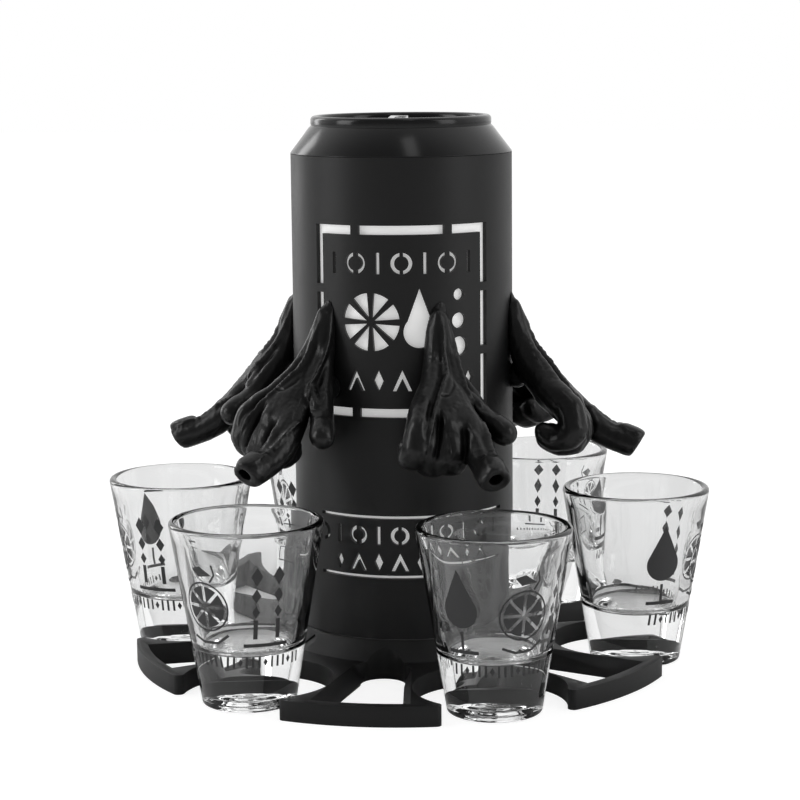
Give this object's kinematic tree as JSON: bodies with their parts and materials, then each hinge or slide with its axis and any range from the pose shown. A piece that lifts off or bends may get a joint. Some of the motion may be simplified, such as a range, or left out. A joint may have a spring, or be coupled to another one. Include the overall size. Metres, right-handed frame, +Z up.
{
  "type": "party shot dispenser",
  "caption": "Can-shaped drink tower whose pointing-hand spouts fill a ring of shot glasses standing in the pockets of a star base",
  "frame": {"origin": "On the table, on the tower's axis, at the middle of the underside of the base.", "axes": "+Z up. One arm of the base points to -Y, the side that the picture shows. +X to the right, through the middles of two glasses."},
  "size_m": [0.1956, 0.1756, 0.1734],
  "materials": {
    "printed_base": "matt black, printed in layers",
    "printed_tower": "satin black",
    "white_core": "satin white",
    "metal_look": "smooth dark grey with a soft metallic sheen",
    "seal": "soft matt",
    "clear_glass": "clear, polished"
  },
  "bodies": {
    "base": {"base_star": "printed_base"},
    "tower": {"core": "white_core", "sleeve": "printed_tower", "shoulder_ring": "metal_look", "outlet_seals": "seal", "hand_1": "printed_tower", "hand_2": "printed_tower", "hand_3": "printed_tower", "hand_4": "printed_tower", "hand_5": "printed_tower", "hand_6": "printed_tower"},
    "lid": {"lid": "metal_look", "tab_clip": "metal_look", "tab_rivet": "metal_look"},
    "tab": {"pull_tab": "metal_look"},
    "glass_1": {"shot_glass_1": "clear_glass"},
    "glass_2": {"shot_glass_2": "clear_glass"},
    "glass_3": {"shot_glass_3": "clear_glass"},
    "glass_4": {"shot_glass_4": "clear_glass"},
    "glass_5": {"shot_glass_5": "clear_glass"},
    "glass_6": {"shot_glass_6": "clear_glass"}
  },
  "joints": [
    {"name": "tower_lift", "type": "slide", "parent": "base", "child": "tower", "axis": [0, 0, 1], "range_m": [0, 0.12]},
    {"name": "lid_lift", "type": "slide", "parent": "tower", "child": "lid", "axis": [0, 0, 1], "range_m": [0, 0.06]},
    {"name": "tab_hinge", "type": "hinge", "parent": "lid", "child": "tab", "pos_m": [0, -0.0175, 0.16916], "axis": [1, 0, 0], "range_deg": [-13, 77]},
    {"name": "glass_1_out", "type": "slide", "parent": "base", "child": "glass_1", "axis": [-0.5, -0.866, 0], "range_m": [0, 0.08]},
    {"name": "glass_2_out", "type": "slide", "parent": "base", "child": "glass_2", "axis": [0.5, -0.866, 0], "range_m": [0, 0.08]},
    {"name": "glass_3_out", "type": "slide", "parent": "base", "child": "glass_3", "axis": [1, 0, 0], "range_m": [0, 0.08]},
    {"name": "glass_4_out", "type": "slide", "parent": "base", "child": "glass_4", "axis": [0.5, 0.866, 0], "range_m": [0, 0.08]},
    {"name": "glass_5_out", "type": "slide", "parent": "base", "child": "glass_5", "axis": [-0.5, 0.866, 0], "range_m": [0, 0.08]},
    {"name": "glass_6_out", "type": "slide", "parent": "base", "child": "glass_6", "axis": [-1, 0, 0], "range_m": [0, 0.08]}
  ]
}
